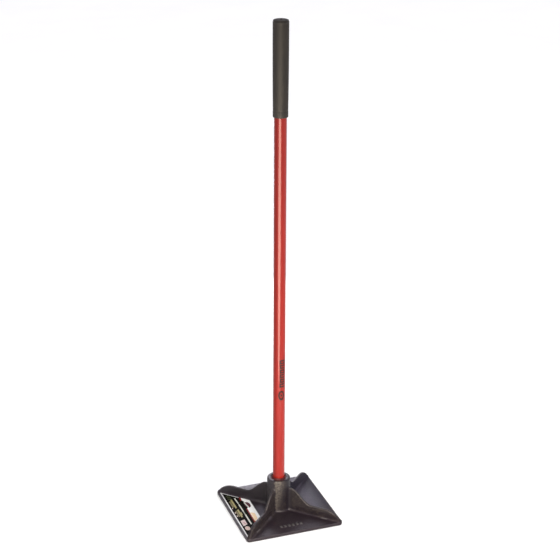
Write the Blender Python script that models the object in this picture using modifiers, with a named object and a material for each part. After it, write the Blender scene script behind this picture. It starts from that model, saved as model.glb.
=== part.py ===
"""Hand tamper: a ribbed cast-iron head with a potted fibreglass handle and a moulded cushion grip.

Metres, +Z up. The origin is the centre of the flat sole, the handle runs up +Z, and the head's
edges lie along X and Y. The four ribs run out along the diagonals.
"""

import math

import bmesh
import bpy
from mathutils import Matrix, Vector

# Head casting
PLATE_SIDE = 0.254
PLATE_THICK = 0.008
PLATE_CORNER_RADIUS = 0.009
PLATE_TOP_ROUND = 0.0016
SOLE_CHAMFER = 0.0008
BURIED = 0.004  # how deep joined shapes reach into the plate

# Ribs, as heights above the sole at distances from the handle's axis
RIB_HALF_THICK = 0.0044  # where the rib leaves the plate
RIB_DRAFT = 0.028  # half thickness lost per metre of height
RIB_EDGE_ROUND = 0.0018
RIB_START = 0.0245
SHOULDER = (0.035, 0.0700)
FALL_END = (0.091, 0.0335)
EAR = (0.130, 0.0335)
RIB_END = (0.1740, BURIED)
EAR_FULLNESS = 0.48  # Bezier handle share that shapes the ear's rounded nose
FOOT_FILLET = 0.0022
FOOT_FILLET_END = 0.166

# Cast marks, in the front bay
MARK_COUNT = 6
MARK_PITCH = 0.0105
MARK_SIZE = (0.0066, 0.0100, 0.0013)
MARK_CENTRE = (-0.0005, -0.0965)

# Socket
SOCKET_RADIUS = 0.0295
SOCKET_TOP = 0.095
SOCKET_RIM_ROUND = 0.0042
BORE_MOUTH_RADIUS = 0.0197
BORE_FLOOR_RADIUS = 0.0178
BORE_FLOOR = 0.012
BORE_RIM_ROUND = 0.0010

# Handle
FIT_GAP = 0.0003
HANDLE_RADIUS = 0.0150
HANDLE_WALL = 0.0032
HANDLE_TOP = 1.2560
LOWER_PLUG_LENGTH = 0.165
UPPER_PLUG_LENGTH = 0.045
POTTING_TOP = 0.0934  # at the bore's wall
POTTING_CREST = 0.0975  # where it climbs the handle

# Grip
GRIP_BOTTOM = 1.0375
GRIP_LIP_TOP = 1.0515
GRIP_LIP_RADIUS = 0.0179
GRIP_NECK_RADIUS = 0.0176
GRIP_TOP_RADIUS = 0.0187
GRIP_SWELL_LENGTH = 0.165
GRIP_TOP = 1.2620
GRIP_EDGE_ROUND = 0.0030
NUB_RADIUS = 0.0022
NUB_HEIGHT = 0.0022

# Retaining screw, at the back of the socket
SCREW_HEIGHT = 0.052
SCREW_SHANK_RADIUS = 0.0024
SCREW_HOLE_RADIUS = 0.0028
SCREW_TIP = 0.0040  # distance of the point from the handle's axis
SCREW_HEX_RADIUS = 0.0058
SCREW_HEX_HEIGHT = 0.0046
SCREW_FLANGE_RADIUS = 0.0068
SCREW_FLANGE_THICK = 0.0011
BOSS_RADIUS = 0.0100
BOSS_FACE = 0.0325
WASHER_RADIUS = 0.0078
WASHER_THICK = 0.0013

# Label in the left bay
LABEL_THICK = 0.0004
LABEL_OUTER = 0.1215
LABEL_INNER = 0.0610
LABEL_RIB_CLEARANCE = 0.0100

ROUND_STEPS = 64
HANDLE_STEPS = 48
SMALL_STEPS = 24
SMOOTH_ANGLE = math.radians(35)


def clear_scene():
    for obj in list(bpy.data.objects):
        bpy.data.objects.remove(obj, do_unlink=True)


def new_collection(name):
    collection = bpy.data.collections.new(name)
    bpy.context.scene.collection.children.link(collection)
    return collection


def material(name, colour, roughness, metallic=0.0):
    made = bpy.data.materials.new(name)
    made.use_nodes = True
    shader = made.node_tree.nodes["Principled BSDF"]
    shader.inputs["Base Color"].default_value = (*colour, 1.0)
    shader.inputs["Roughness"].default_value = roughness
    shader.inputs["Metallic"].default_value = metallic
    return made


def place(obj, collection, finish=None):
    """Moves obj into its collection, gives it its material and shades its round faces smooth."""
    for old in list(obj.users_collection):
        old.objects.unlink(obj)
    collection.objects.link(obj)
    obj.data.materials.clear()
    if finish:
        obj.data.materials.append(finish)
    if obj.type == "MESH":
        obj.data.shade_smooth()
        obj.data.set_sharp_from_angle(angle=SMOOTH_ANGLE)
    return obj


def helper(obj):
    """Marks a shape that only cuts or joins another one."""
    place(obj, helpers)
    obj.hide_render = True
    obj.display_type = "WIRE"
    return obj


def arc(centre_r, centre_z, radius, start, end, count):
    """Points of a round stretch of a profile, with the angles in degrees from +r towards +Z."""
    points = []
    for i in range(count + 1):
        angle = math.radians(start + (end - start) * i / count)
        points.append((centre_r + radius * math.cos(angle), centre_z + radius * math.sin(angle)))
    return points


def turned(name, profile, steps, closed=False):
    """A profile of (radius, height) points turned about Z. It runs down the outer side."""
    mesh = bpy.data.meshes.new(name)
    edges = [(i, i + 1) for i in range(len(profile) - 1)]
    if closed:
        edges.append((len(profile) - 1, 0))
    mesh.from_pydata([(r, 0.0, z) for r, z in profile], edges, [])
    obj = bpy.data.objects.new(name, mesh)
    bpy.context.scene.collection.objects.link(obj)
    screw = obj.modifiers.new("Turn", "SCREW")
    screw.axis = "Z"
    screw.steps = steps
    screw.render_steps = steps
    screw.use_merge_vertices = True
    screw.merge_threshold = 0.00002
    screw.use_smooth_shade = True
    return obj


def as_mesh(obj):
    """A new mesh object with obj's evaluated shape, welded. The source object is removed."""
    bpy.context.view_layer.update()
    graph = bpy.context.evaluated_depsgraph_get()
    mesh = bpy.data.meshes.new_from_object(obj.evaluated_get(graph))
    shape = bmesh.new()
    shape.from_mesh(mesh)
    bmesh.ops.remove_doubles(shape, verts=shape.verts, dist=0.00001)
    bmesh.ops.recalc_face_normals(shape, faces=shape.faces)
    shape.to_mesh(mesh)
    shape.free()
    made = bpy.data.objects.new(obj.name + "_mesh", mesh)
    bpy.context.scene.collection.objects.link(made)
    made.matrix_world = obj.matrix_world.copy()
    bpy.data.objects.remove(obj, do_unlink=True)
    return made


def combine(obj, other, operation):
    boolean = obj.modifiers.new(operation.title() + " " + other.name, "BOOLEAN")
    boolean.operation = operation
    boolean.object = other
    boolean.solver = "EXACT"


def straight_along_y(obj, start, height):
    """Lays a shape turned about Z along +Y, its z = 0 at the given y, at the given height."""
    obj.matrix_world = Matrix.Translation((0.0, start, height)) @ Matrix.Rotation(-math.pi / 2, 4, "X")
    return obj


def plate():
    """The square plate, with round corners, a rounded top edge and a chamfered sole."""
    bpy.ops.mesh.primitive_cube_add(size=1.0, location=(0.0, 0.0, PLATE_THICK / 2))
    obj = bpy.context.active_object
    obj.name = "tamper_head"
    shape = bmesh.new()
    shape.from_mesh(obj.data)
    bmesh.ops.scale(shape, vec=(PLATE_SIDE, PLATE_SIDE, PLATE_THICK), verts=shape.verts)
    upright = [e for e in shape.edges if abs(e.verts[0].co.z - e.verts[1].co.z) > PLATE_THICK / 2]
    bmesh.ops.bevel(
        shape, geom=upright, offset=PLATE_CORNER_RADIUS, segments=6, profile=0.5, affect="EDGES"
    )
    for side, width, segments in ((1, PLATE_TOP_ROUND, 2), (-1, SOLE_CHAMFER, 1)):
        level = side * PLATE_THICK / 2
        rim = [
            e
            for e in shape.edges
            if all(abs(v.co.z - level) < 1e-6 for v in e.verts)
            and any(abs(f.normal.z) < 0.5 for f in e.link_faces)
        ]
        bmesh.ops.bevel(
            shape, geom=rim, offset=width, segments=segments, profile=0.5, affect="EDGES"
        )
    shape.to_mesh(obj.data)
    shape.free()
    return obj


def rib(name, turn):
    """One rib: a curve filled and thickened with a rounded edge, then narrowed towards its top."""
    nose = (RIB_END[0] - EAR[0], EAR[1] - RIB_END[1])
    ear_run = (EAR[0] - FALL_END[0]) / 3
    fall_run = (FALL_END[0] - SHOULDER[0]) / 3
    top_start = (RIB_START, SHOULDER[1])
    low_start = (RIB_START, BURIED)
    # Each point with its Bezier handles, from the corner's tip over the top to the socket.
    outline = [
        (RIB_END, RIB_END, (RIB_END[0], RIB_END[1] + EAR_FULLNESS * nose[1])),
        (EAR, (EAR[0] + EAR_FULLNESS * nose[0], EAR[1]), (EAR[0] - ear_run, EAR[1])),
        (FALL_END, (FALL_END[0] + ear_run, FALL_END[1]), (FALL_END[0] - fall_run, FALL_END[1])),
        (SHOULDER, (SHOULDER[0] + fall_run, SHOULDER[1]), SHOULDER),
        (top_start, top_start, top_start),
        (low_start, low_start, low_start),
    ]
    data = bpy.data.curves.new(name, "CURVE")
    data.dimensions = "2D"
    data.fill_mode = "BOTH"
    data.resolution_u = 7
    data.bevel_depth = RIB_EDGE_ROUND
    data.bevel_resolution = 1
    data.offset = -RIB_EDGE_ROUND
    data.extrude = RIB_HALF_THICK - RIB_EDGE_ROUND
    spline = data.splines.new("BEZIER")
    spline.bezier_points.add(len(outline) - 1)
    for point, (place_at, before, after) in zip(spline.bezier_points, outline):
        point.handle_left_type = point.handle_right_type = "FREE"
        point.co = (*place_at, 0.0)
        point.handle_left = (*before, 0.0)
        point.handle_right = (*after, 0.0)
    spline.use_cyclic_u = True
    curve = bpy.data.objects.new(name, data)
    bpy.context.scene.collection.objects.link(curve)
    curve.matrix_world = Matrix.Rotation(math.pi / 2, 4, "X")
    wall = as_mesh(curve)
    wall.data.transform(wall.matrix_world)
    wall.matrix_world = Matrix.Rotation(turn, 4, "Z")
    for vertex in wall.data.vertices:
        height = vertex.co.z - PLATE_THICK
        vertex.co.y *= 1.0 - RIB_DRAFT * height / RIB_HALF_THICK
    return helper(wall)


def foot_fillet(name, turn):
    """A low bar with sloping sides along a rib's foot, for the casting's inner corners."""
    low = PLATE_THICK - BURIED / 2
    high = PLATE_THICK + FOOT_FILLET + 0.0010
    inset = high - low
    wide = RIB_HALF_THICK + FOOT_FILLET + BURIED / 2
    bpy.ops.mesh.primitive_cube_add(size=2.0)
    bar = bpy.context.active_object
    bar.name = name
    for vertex in bar.data.vertices:
        step = inset if vertex.co.z > 0 else 0.0
        vertex.co.z = high if vertex.co.z > 0 else low
        vertex.co.x = FOOT_FILLET_END - step if vertex.co.x > 0 else RIB_START + 0.001
        vertex.co.y = math.copysign(wide - step, vertex.co.y)
    bar.matrix_world = Matrix.Rotation(turn, 4, "Z")
    return helper(bar)


def cast_mark(name, index):
    """One of a row of plain raised bars."""
    bpy.ops.mesh.primitive_cube_add(size=1.0)
    bar = bpy.context.active_object
    bar.name = name
    bar.data.transform(Matrix.Diagonal((*MARK_SIZE[:2], 2 * MARK_SIZE[2], 1.0)))
    along = (index - (MARK_COUNT - 1) / 2) * MARK_PITCH
    bar.location = (MARK_CENTRE[0] + along, MARK_CENTRE[1], PLATE_THICK)
    return helper(bar)


def socket_body():
    """The socket's outside, solid, with a rounded rim and a sloping foot."""
    rim = arc(
        SOCKET_RADIUS - SOCKET_RIM_ROUND, SOCKET_TOP - SOCKET_RIM_ROUND, SOCKET_RIM_ROUND, 90, 0, 5
    )
    foot = [
        (SOCKET_RADIUS, PLATE_THICK + FOOT_FILLET),
        (SOCKET_RADIUS + FOOT_FILLET + BURIED / 2, PLATE_THICK - BURIED / 2),
    ]
    profile = [(0.0, SOCKET_TOP), *rim, *foot, (0.0, PLATE_THICK - BURIED / 2)]
    return helper(turned("socket_body", profile, ROUND_STEPS))


def bore_radius(height):
    """The bore's radius at a height: it narrows towards its floor by the casting's draft."""
    share = (height - BORE_FLOOR) / (SOCKET_TOP - BORE_FLOOR)
    return BORE_FLOOR_RADIUS + (BORE_MOUTH_RADIUS - BORE_FLOOR_RADIUS) * share


def bore_cutter():
    above = SOCKET_TOP + 0.004
    mouth = arc(
        BORE_MOUTH_RADIUS + BORE_RIM_ROUND, SOCKET_TOP - BORE_RIM_ROUND, BORE_RIM_ROUND, 90, 180, 3
    )
    mouth[0] = (mouth[0][0], above)
    wide = [(0.0, above), mouth[0], (mouth[0][0], SOCKET_TOP - BORE_RIM_ROUND * 0.02)]
    profile = [*wide, *mouth[1:], (BORE_FLOOR_RADIUS, BORE_FLOOR), (0.0, BORE_FLOOR)]
    return helper(turned("bore_cutter", profile, ROUND_STEPS))


def screw_boss():
    """A short round pad on the back of the socket, faced flat for the washer."""
    length = BOSS_FACE - BORE_MOUTH_RADIUS - 0.004
    profile = [(0.0, length), (BOSS_RADIUS, length), (BOSS_RADIUS + 0.0012, 0.0), (0.0, 0.0)]
    boss = turned("screw_boss", profile, 32)
    return helper(straight_along_y(boss, BOSS_FACE - length, SCREW_HEIGHT))


def screw_cutter(name, start, end):
    """A plain drill along +Y at the screw's height."""
    length = end - start
    profile = [(0.0, length), (SCREW_HOLE_RADIUS, length), (SCREW_HOLE_RADIUS, 0.0), (0.0, 0.0)]
    return helper(straight_along_y(turned(name, profile, SMALL_STEPS), start, SCREW_HEIGHT))


def tamper_head(finish):
    head = plate()
    for index in range(4):
        turn = math.radians(45 + 90 * index)
        combine(head, foot_fillet(f"foot_fillet_{index}", turn), "UNION")
        combine(head, rib(f"rib_{index}", turn), "UNION")
    for index in range(MARK_COUNT):
        combine(head, cast_mark(f"cast_mark_{index}", index), "UNION")
    combine(head, socket_body(), "UNION")
    combine(head, screw_boss(), "UNION")
    combine(head, bore_cutter(), "DIFFERENCE")
    drill = screw_cutter("head_drill", HANDLE_RADIUS, BOSS_FACE + 0.004)
    combine(head, drill, "DIFFERENCE")
    return place(head, parts, finish)


def handle_tube(finish):
    low, high = BORE_FLOOR + FIT_GAP, HANDLE_TOP
    inner = HANDLE_RADIUS - HANDLE_WALL
    profile = [(HANDLE_RADIUS, high), (HANDLE_RADIUS, low), (inner, low), (inner, high)]
    tube = turned("handle_tube", profile, HANDLE_STEPS, closed=True)
    drill = screw_cutter("tube_drill", inner - 0.003, HANDLE_RADIUS + 0.003)
    combine(tube, drill, "DIFFERENCE")
    return place(tube, parts, finish)


def lower_core_plug(finish):
    """The hardwood core that keeps the tube from crushing in the socket and takes the screw."""
    radius = HANDLE_RADIUS - HANDLE_WALL - FIT_GAP
    low = BORE_FLOOR + FIT_GAP
    high = low + LOWER_PLUG_LENGTH
    edge = 0.0015
    profile = [(0.0, high), (radius - edge, high), (radius, high - edge), (radius, low), (0.0, low)]
    plug = turned("lower_core_plug", profile, HANDLE_STEPS)
    combine(plug, screw_cutter("plug_drill", SCREW_TIP - 0.001, radius + 0.003), "DIFFERENCE")
    return place(plug, parts, finish)


def upper_core_plug(finish):
    """The end plug that closes the tube under the grip's cap."""
    radius = HANDLE_RADIUS - HANDLE_WALL - FIT_GAP
    high = HANDLE_TOP
    low = high - UPPER_PLUG_LENGTH
    edge = 0.0015
    profile = [(0.0, high), (radius, high), (radius, low + edge), (radius - edge, low), (0.0, low)]
    return place(turned("upper_core_plug", profile, HANDLE_STEPS), parts, finish)


def potting_ring(finish):
    """The resin that fills the space between the bore and the handle."""
    low = BORE_FLOOR + FIT_GAP
    inner = HANDLE_RADIUS + FIT_GAP
    profile = [
        (bore_radius(POTTING_TOP) - FIT_GAP, POTTING_TOP),
        (bore_radius(low) - FIT_GAP, low),
        (inner, low),
        (inner, POTTING_CREST),
        (inner + 0.0005, POTTING_CREST - 0.0002),
        (inner + 0.0012, POTTING_CREST - 0.0022),
        (inner + 0.0024, POTTING_TOP + 0.0004),
    ]
    ring = turned("potting_ring", profile, ROUND_STEPS, closed=True)
    drill = screw_cutter("potting_drill", inner - 0.002, BORE_MOUTH_RADIUS + 0.002)
    combine(ring, drill, "DIFFERENCE")
    return place(ring, parts, finish)


def grip_sleeve(finish):
    """The moulded grip: closed on top with a small nub, waisted, with a plain lip at the bottom."""
    inner = HANDLE_RADIUS + FIT_GAP
    ceiling = HANDLE_TOP + FIT_GAP
    edge_z = GRIP_TOP - GRIP_EDGE_ROUND - 0.0008
    nub = [(0.0, GRIP_TOP + NUB_HEIGHT), (NUB_RADIUS * 0.6, GRIP_TOP + NUB_HEIGHT * 0.8)]
    crown = [(NUB_RADIUS, GRIP_TOP), (0.010, GRIP_TOP - 0.0003)]
    edge = arc(GRIP_TOP_RADIUS - GRIP_EDGE_ROUND - 0.0004, edge_z, GRIP_EDGE_ROUND, 80, 8, 5)
    body = []
    stations = 9
    for i in range(stations + 1):
        up = GRIP_SWELL_LENGTH * (1.0 - i / stations)
        swell = 1.0 - (1.0 - up / GRIP_SWELL_LENGTH) ** 2
        radius = GRIP_NECK_RADIUS + (GRIP_TOP_RADIUS - GRIP_NECK_RADIUS) * swell
        body.append((radius, GRIP_LIP_TOP + 0.0016 + up))
    lip = [(GRIP_NECK_RADIUS - 0.0002, GRIP_LIP_TOP + 0.0006), (GRIP_LIP_RADIUS, GRIP_LIP_TOP - 0.0006)]
    foot = arc(GRIP_LIP_RADIUS - 0.0014, GRIP_BOTTOM + 0.0014, 0.0014, 0, -90, 3)
    inside = [(inner, GRIP_BOTTOM), (inner, ceiling), (0.0, ceiling)]
    profile = [*nub, *crown, *edge, *body, *lip, *foot, *inside]
    return place(turned("grip_sleeve", profile, HANDLE_STEPS), parts, finish)


def screw_washer(finish):
    hole = SCREW_HOLE_RADIUS
    profile = [(WASHER_RADIUS, WASHER_THICK), (WASHER_RADIUS, 0.0), (hole, 0.0), (hole, WASHER_THICK)]
    washer = turned("screw_washer", profile, SMALL_STEPS, closed=True)
    straight_along_y(washer, BOSS_FACE + FIT_GAP, SCREW_HEIGHT)
    return place(washer, parts, finish)


def retaining_screw(finish):
    """A hex screw with a flange under its head and a turned point."""
    seat = BOSS_FACE + WASHER_THICK + 2 * FIT_GAP
    length = seat - SCREW_TIP
    flange = length + SCREW_FLANGE_THICK
    profile = [
        (0.0, flange),
        (SCREW_FLANGE_RADIUS - 0.0004, flange),
        (SCREW_FLANGE_RADIUS, length),
        (SCREW_SHANK_RADIUS, length),
        (SCREW_SHANK_RADIUS, 0.004),
        (0.0, 0.0),
    ]
    screw = as_mesh(turned("retaining_screw", profile, SMALL_STEPS))
    screw.name = "retaining_screw"
    straight_along_y(screw, SCREW_TIP, SCREW_HEIGHT)
    bpy.ops.mesh.primitive_cylinder_add(vertices=6, radius=SCREW_HEX_RADIUS, depth=SCREW_HEX_HEIGHT)
    hexagon = bpy.context.active_object
    hexagon.name = "screw_hexagon"
    shape = bmesh.new()
    shape.from_mesh(hexagon.data)
    top = [e for e in shape.edges if all(v.co.z > 0 for v in e.verts)]
    bmesh.ops.bevel(shape, geom=top, offset=0.0006, segments=1, affect="EDGES")
    shape.to_mesh(hexagon.data)
    shape.free()
    middle = SCREW_TIP + flange + SCREW_HEX_HEIGHT / 2 - 0.0004
    straight_along_y(hexagon, middle, SCREW_HEIGHT)
    combine(screw, helper(hexagon), "UNION")
    return place(screw, parts, finish)


def head_label(finish):
    """The sticker in the left bay: a flat trapezium with rounded corners."""
    corners = [
        Vector((-LABEL_OUTER, -LABEL_OUTER + LABEL_RIB_CLEARANCE)),
        Vector((-LABEL_INNER, -LABEL_INNER + LABEL_RIB_CLEARANCE)),
        Vector((-LABEL_INNER, LABEL_INNER - LABEL_RIB_CLEARANCE)),
        Vector((-LABEL_OUTER, LABEL_OUTER - LABEL_RIB_CLEARANCE)),
    ]
    data = bpy.data.curves.new("head_label", "CURVE")
    data.dimensions = "2D"
    data.fill_mode = "BOTH"
    data.extrude = LABEL_THICK / 2
    spline = data.splines.new("POLY")
    spline.points.add(len(corners) - 1)
    for point, corner in zip(spline.points, corners):
        point.co = (corner.x, corner.y, 0.0, 1.0)
    spline.use_cyclic_u = True
    outline = bpy.data.objects.new("label_outline", data)
    bpy.context.scene.collection.objects.link(outline)
    outline.location.z = PLATE_THICK + FIT_GAP + LABEL_THICK / 2
    label = as_mesh(outline)
    label.name = "head_label"
    shape = bmesh.new()
    shape.from_mesh(label.data)
    upright = [e for e in shape.edges if abs(e.verts[0].co.z - e.verts[1].co.z) > LABEL_THICK / 2]
    bmesh.ops.bevel(shape, geom=upright, offset=0.0030, segments=3, profile=0.5, affect="EDGES")
    shape.to_mesh(label.data)
    shape.free()
    return place(label, parts, finish)


clear_scene()
parts = new_collection("hand_tamper")
helpers = new_collection("helpers")

cast_iron = material("painted_cast_iron", (0.035, 0.033, 0.036), 0.42, 0.25)
red_fibreglass = material("red_fibreglass", (0.60, 0.045, 0.022), 0.28)
hardwood = material("hardwood", (0.52, 0.36, 0.20), 0.7)
black_plug = material("black_nylon", (0.03, 0.03, 0.03), 0.5)
resin = material("potting_resin", (0.075, 0.011, 0.011), 0.45)
soft_rubber = material("grip_rubber", (0.072, 0.064, 0.056), 0.62)
zinc = material("zinc_plated_steel", (0.62, 0.62, 0.60), 0.35, 1.0)
label_film = material("label_film", (0.03, 0.03, 0.03), 0.3)

tamper_head(cast_iron)
handle_tube(red_fibreglass)
lower_core_plug(hardwood)
upper_core_plug(black_plug)
potting_ring(resin)
grip_sleeve(soft_rubber)
screw_washer(zinc)
retaining_screw(zinc)
head_label(label_film)
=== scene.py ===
"""The finished look of the hand tamper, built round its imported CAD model."""

import math

import bmesh
import bpy
import numpy as np
from mathutils import Matrix, Vector


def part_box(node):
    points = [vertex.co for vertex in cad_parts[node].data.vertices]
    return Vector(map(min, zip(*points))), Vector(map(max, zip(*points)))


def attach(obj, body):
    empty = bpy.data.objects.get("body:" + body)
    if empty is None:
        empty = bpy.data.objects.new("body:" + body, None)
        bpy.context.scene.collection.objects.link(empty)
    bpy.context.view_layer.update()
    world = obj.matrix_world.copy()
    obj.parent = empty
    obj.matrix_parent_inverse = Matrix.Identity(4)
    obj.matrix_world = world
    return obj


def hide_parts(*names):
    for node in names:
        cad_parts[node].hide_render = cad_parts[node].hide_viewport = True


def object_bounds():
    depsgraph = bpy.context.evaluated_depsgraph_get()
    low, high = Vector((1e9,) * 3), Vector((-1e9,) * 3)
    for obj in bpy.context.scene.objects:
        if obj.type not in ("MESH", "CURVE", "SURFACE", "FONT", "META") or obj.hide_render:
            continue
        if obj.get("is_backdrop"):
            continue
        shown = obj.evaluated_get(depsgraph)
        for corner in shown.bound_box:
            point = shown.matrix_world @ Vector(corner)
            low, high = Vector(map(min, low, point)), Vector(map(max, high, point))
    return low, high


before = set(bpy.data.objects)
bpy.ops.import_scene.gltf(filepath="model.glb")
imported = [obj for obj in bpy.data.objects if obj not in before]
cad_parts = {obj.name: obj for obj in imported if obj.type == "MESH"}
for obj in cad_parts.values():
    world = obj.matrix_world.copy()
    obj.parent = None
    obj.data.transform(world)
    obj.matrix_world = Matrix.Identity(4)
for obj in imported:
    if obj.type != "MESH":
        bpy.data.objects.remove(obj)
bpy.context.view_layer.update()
MM = 0.001

head_low, head_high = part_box("tamper_head")
tube_low, tube_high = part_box("handle_tube")
grip_low, grip_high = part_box("grip_sleeve")
ring_low, ring_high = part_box("potting_ring")
washer_low, washer_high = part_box("screw_washer")
screw_low, screw_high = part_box("retaining_screw")

HALF_SIDE = head_high.x
SOCKET_TOP = head_high.z
PLATE_TOP = 8.0 * MM
CORNER = 9.0 * MM
SOCKET_RADIUS = 29.5 * MM
BORE_MOUTH = 19.7 * MM
BORE_FOOT = 17.8 * MM
BORE_FLOOR = tube_low.z - 0.3 * MM
HANDLE_RADIUS = tube_high.x
TUBE_WALL = 3.2 * MM
SCREW_HEIGHT = (washer_low.z + washer_high.z) / 2
BOSS_RADIUS = 10.0 * MM
BOSS_FACE = washer_low.y - 0.3 * MM

# The side view of a rib: heights, and distances from the handle's axis.
RIB_SHOULDER = 70.0 * MM
RIB_FALL = 36.5 * MM
FALL_START = 35.0 * MM
FALL_END = 91.0 * MM
NOSE_START = 130.0 * MM
NOSE_LENGTH = 45.8 * MM
RIB_FOOT = 4.5 * MM
RIB_START = 12.0 * MM
RIB_HALF = 4.4 * MM
RIB_DRAFT = 0.028

# The raised bars in the front bay.
MARK_COUNT = 6
MARK_PITCH = 10.5 * MM
MARK_HALF = (3.3 * MM, 5.0 * MM)
MARK_ROW = (-0.5 * MM, -96.5 * MM)
MARK_RISE = 1.3 * MM

# Level directions, as shares of X and Y: the ribs', and two of the photograph's view.
SLANT = math.sqrt(0.5)
TO_VIEW_RIGHT = (0.94, -0.34, 0.0)
TO_VIEWER = (-0.34, -0.94, 0.0)


# ---------------------------------------------------------------- material nodes


class Shader:
    """A Principled material with short calls for the nodes it is fed from."""

    def __init__(self, name, **values):
        self.material = bpy.data.materials.new(name)
        self.material.use_nodes = True
        self.tree = self.material.node_tree
        self.body = self.tree.nodes["Principled BSDF"]
        for socket, value in values.items():
            self.body.inputs[socket.replace("_", " ")].default_value = value
        self.place = self.tree.nodes.new("ShaderNodeTexCoord").outputs["Object"]

    def feed(self, socket, source):
        self.tree.links.new(source, self.body.inputs[socket])

    def _set(self, socket, value):
        if isinstance(value, bpy.types.NodeSocket):
            self.tree.links.new(value, socket)
        else:
            socket.default_value = value

    def stretched(self, scale):
        node = self.tree.nodes.new("ShaderNodeMapping")
        node.inputs["Scale"].default_value = scale
        self._set(node.inputs["Vector"], self.place)
        return node.outputs["Vector"]

    def noise(self, per_metre, detail=3.0, roughness=0.55, place=None, distortion=0.0):
        node = self.tree.nodes.new("ShaderNodeTexNoise")
        self._set(node.inputs["Vector"], place or self.place)
        node.inputs["Scale"].default_value = per_metre
        node.inputs["Detail"].default_value = detail
        node.inputs["Roughness"].default_value = roughness
        node.inputs["Distortion"].default_value = distortion
        return node.outputs["Fac"]

    def cells(self, per_metre, place=None):
        node = self.tree.nodes.new("ShaderNodeTexVoronoi")
        self._set(node.inputs["Vector"], place or self.place)
        node.inputs["Scale"].default_value = per_metre
        return node.outputs["Distance"]

    def ramp(self, source, *stops):
        """Colours or greys at the given positions."""
        node = self.tree.nodes.new("ShaderNodeValToRGB")
        self._set(node.inputs["Fac"], source)
        items = node.color_ramp.elements
        while len(items) < len(stops):
            items.new(0.5)
        for item, (position, colour) in zip(items, stops):
            item.position = position
            item.color = (*colour, 1.0) if isinstance(colour, tuple) else (colour, colour, colour, 1.0)
        return node.outputs["Color"]

    def span(self, source, low, high, to_low=0.0, to_high=1.0):
        node = self.tree.nodes.new("ShaderNodeMapRange")
        node.interpolation_type = "SMOOTHSTEP"
        for socket, value in zip(node.inputs, (source, low, high, to_low, to_high)):
            self._set(socket, value)
        return node.outputs["Result"]

    def math(self, operation, first, second=0.5):
        node = self.tree.nodes.new("ShaderNodeMath")
        node.operation = operation
        self._set(node.inputs[0], first)
        self._set(node.inputs[1], second)
        return node.outputs["Value"]

    def mix(self, share, first, second):
        """A colour between two, either of which may be another node's."""
        node = self.tree.nodes.new("ShaderNodeMix")
        node.data_type = "RGBA"
        self._set(node.inputs[0], share)
        for socket, value in ((node.inputs[6], first), (node.inputs[7], second)):
            self._set(socket, (*value, 1.0) if isinstance(value, tuple) else value)
        return node.outputs[2]

    def along(self, direction):
        """How far a point is from the origin in a direction."""
        node = self.tree.nodes.new("ShaderNodeVectorMath")
        node.operation = "DOT_PRODUCT"
        self._set(node.inputs[0], self.place)
        node.inputs[1].default_value = direction
        return node.outputs["Value"]

    def within(self, source, low, high, soft):
        """One between two values, falling softly to zero outside them."""
        rise = self.span(source, low - soft, low + soft)
        fall = self.span(source, high - soft, high + soft, 1.0, 0.0)
        return self.math("MULTIPLY", rise, fall)

    def edges(self):
        """Where the surface is crowned or hollow: above 0.5 on outer edges."""
        return self.tree.nodes.new("ShaderNodeNewGeometry").outputs["Pointiness"]

    def bump(self, *layers):
        """Adds bumps of (height source, depth in metres), one on another."""
        last = None
        for source, depth in layers:
            node = self.tree.nodes.new("ShaderNodeBump")
            node.inputs["Strength"].default_value = 1.0
            node.inputs["Distance"].default_value = depth
            self._set(node.inputs["Height"], source)
            if last:
                self._set(node.inputs["Normal"], last)
            last = node.outputs["Normal"]
        self.feed("Normal", last)
        return self.material


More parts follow.
